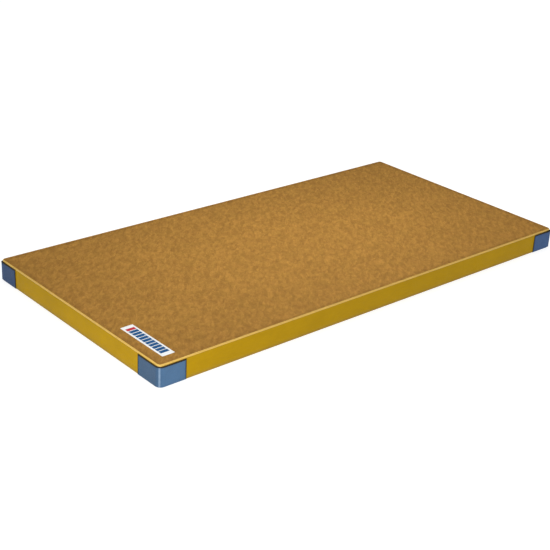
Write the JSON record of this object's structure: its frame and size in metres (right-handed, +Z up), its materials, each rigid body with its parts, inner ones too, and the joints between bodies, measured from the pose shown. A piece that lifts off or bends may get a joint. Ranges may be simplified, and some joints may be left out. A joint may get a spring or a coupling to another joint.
{
  "type": "gymnastics mat",
  "caption": "Flat rectangular gymnastics mat with a foam core, a sewn cover with piped top edge, guarded corners, a blank label and a zip along the rear side.",
  "frame": {"origin": "centre of the underside, on the floor", "axes": "+X along the mat's length, +Y across it to the side with the zip, +Z up"},
  "size_m": [2.0052, 1.0052, 0.084],
  "materials": {
    "firm_foam": "matte",
    "soft_foam": "matte",
    "mat_cloth": "matte",
    "grip_cloth": "matte",
    "piping_vinyl": "satin",
    "side_vinyl": "satin",
    "guard_leather": "satin",
    "binding_tape": "matte",
    "label_film": "satin",
    "zip_cloth": "matte",
    "zip_plastic": "satin",
    "zip_metal": "satin"
  },
  "bodies": {
    "mat": {"core_base_layer": "firm_foam", "core_middle_layer": "soft_foam", "core_top_layer": "firm_foam", "top_sheet": "mat_cloth", "base_sheet": "grip_cloth", "top_piping": "piping_vinyl", "front_side_band": "side_vinyl", "rear_side_band": "side_vinyl", "left_side_band": "side_vinyl", "right_side_band": "side_vinyl", "guard_front_left": "guard_leather", "guard_front_right": "guard_leather", "guard_rear_left": "guard_leather", "guard_rear_right": "guard_leather", "guard_binding_front_left": "binding_tape", "guard_binding_front_right": "binding_tape", "guard_binding_rear_left": "binding_tape", "guard_binding_rear_right": "binding_tape", "label_patch": "label_film", "zip_tape_upper": "zip_cloth", "zip_tape_lower": "zip_cloth", "zip_teeth_upper": "zip_plastic", "zip_teeth_lower": "zip_plastic", "zip_stop_closed": "zip_metal", "zip_stop_open": "zip_metal"},
    "slider": {"zip_slider": "zip_metal"},
    "pull": {"zip_pull_tab": "zip_metal"}
  },
  "joints": [
    {"name": "zip_slide", "type": "slide", "parent": "mat", "child": "slider", "axis": [-1, 0, 0], "range_m": [0, 1.676]},
    {"name": "pull_hinge", "type": "hinge", "parent": "slider", "child": "pull", "pos_m": [0.838, 0.4997, 0.04], "axis": [0, 0, -1], "range_deg": [0, 180]}
  ]
}
